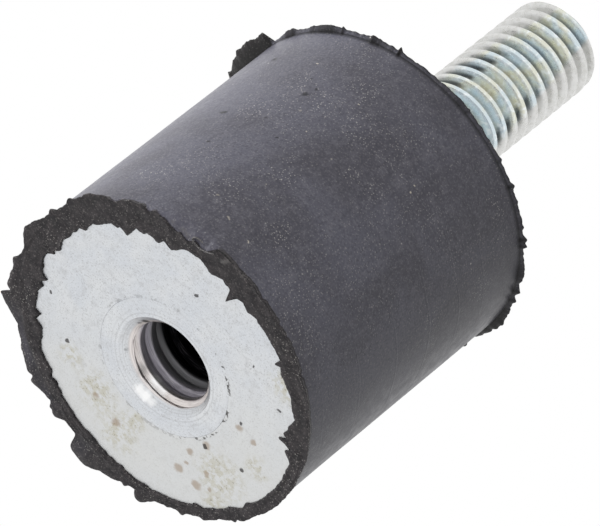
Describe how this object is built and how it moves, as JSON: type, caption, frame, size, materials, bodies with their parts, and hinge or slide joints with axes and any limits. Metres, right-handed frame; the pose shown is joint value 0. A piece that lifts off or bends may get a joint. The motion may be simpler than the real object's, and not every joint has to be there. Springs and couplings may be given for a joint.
{
  "type": "bobbin vibration mount",
  "caption": "Rubber cylinder bonded between steel end plates, with a blind threaded socket in one end and a threaded stud on the other; isolates machines from vibration.",
  "frame": {"origin": "centre of the socket end's face, on the axis of the rubber and the stud", "axes": "+Z along the axis from the socket end to the stud's tip; +X and +Y are the sides towards which the socket's metal lies slightly off the axis"},
  "size_m": [0.0215, 0.0217, 0.038],
  "materials": {
    "rubber": "matt black natural rubber, dusty, torn at its flash edges",
    "plate_zinc": "stamped mild steel, pale zinc plated, stained and lightly rusted",
    "bush_zinc": "turned steel, pale zinc plated",
    "stud_zinc": "rolled steel, bright blue-white zinc plated"
  },
  "bodies": {
    "root": {"rubber_body": "rubber", "socket_plate": "plate_zinc", "threaded_bush": "bush_zinc", "stud_plate": "plate_zinc", "stud": "stud_zinc"}
  },
  "joints": []
}
